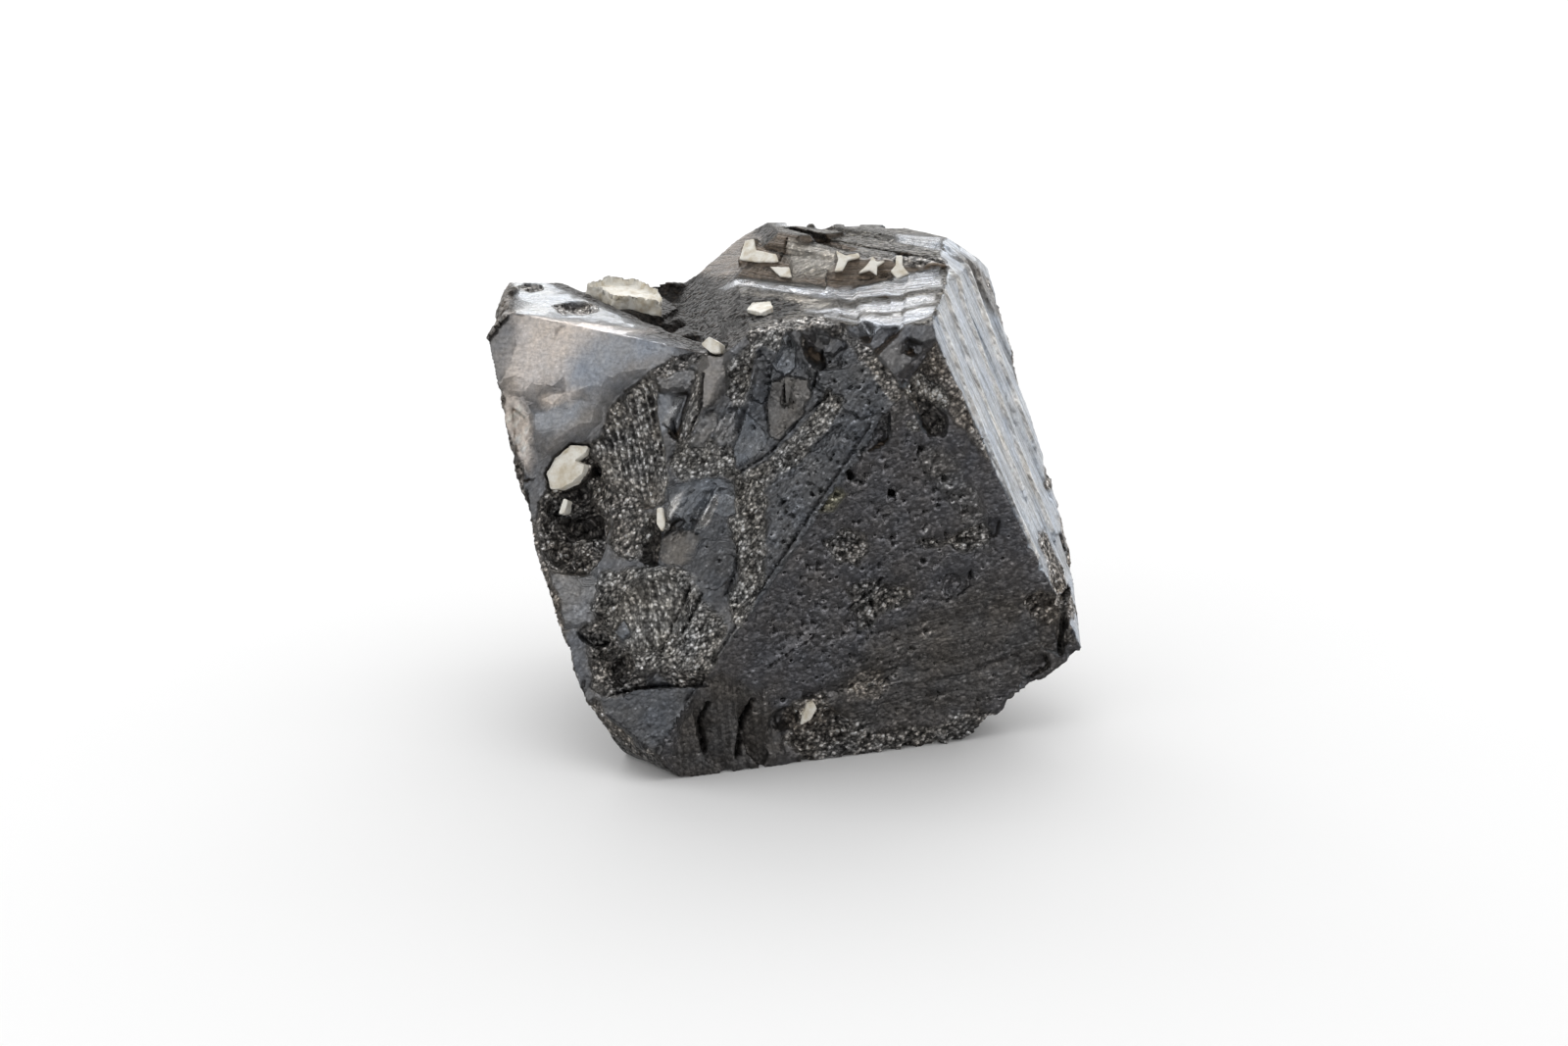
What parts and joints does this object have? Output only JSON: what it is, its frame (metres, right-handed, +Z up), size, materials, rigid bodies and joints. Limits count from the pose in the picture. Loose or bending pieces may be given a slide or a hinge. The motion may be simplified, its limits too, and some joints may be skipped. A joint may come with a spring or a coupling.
{
  "type": "alabandite specimen",
  "caption": "Loose mineral specimen: a cleaved, stepped block of black sub-metallic alabandite with pale calcite grains set in it, resting on its flat broken base.",
  "frame": {"origin": "middle of the bounding box's underside, on the plane the specimen rests on", "axes": "+Z up; -Y towards the viewer of the two large front faces, with their shared ridge slightly left of the middle at the foot; +X to that viewer's right"},
  "size_m": [0.0564, 0.0414, 0.0442],
  "materials": {
    "alabandite": "black to dark blue-grey, sub-metallic on the cleavage faces, dull in the crumbled hollows",
    "calcite": "matte cream white"
  },
  "bodies": {
    "root": {"alabandite_block": "alabandite", "calcite_platform_patch": "calcite", "calcite_notch_grain": "calcite", "calcite_tread_grain": "calcite", "calcite_riser_patch": "calcite", "calcite_riser_chip": "calcite", "calcite_twin_left": "calcite", "calcite_twin_middle": "calcite", "calcite_twin_right": "calcite", "calcite_hollow_patch": "calcite", "calcite_cavity_sliver": "calcite", "calcite_step_sliver": "calcite", "calcite_foot_grain": "calcite"}
  },
  "joints": []
}
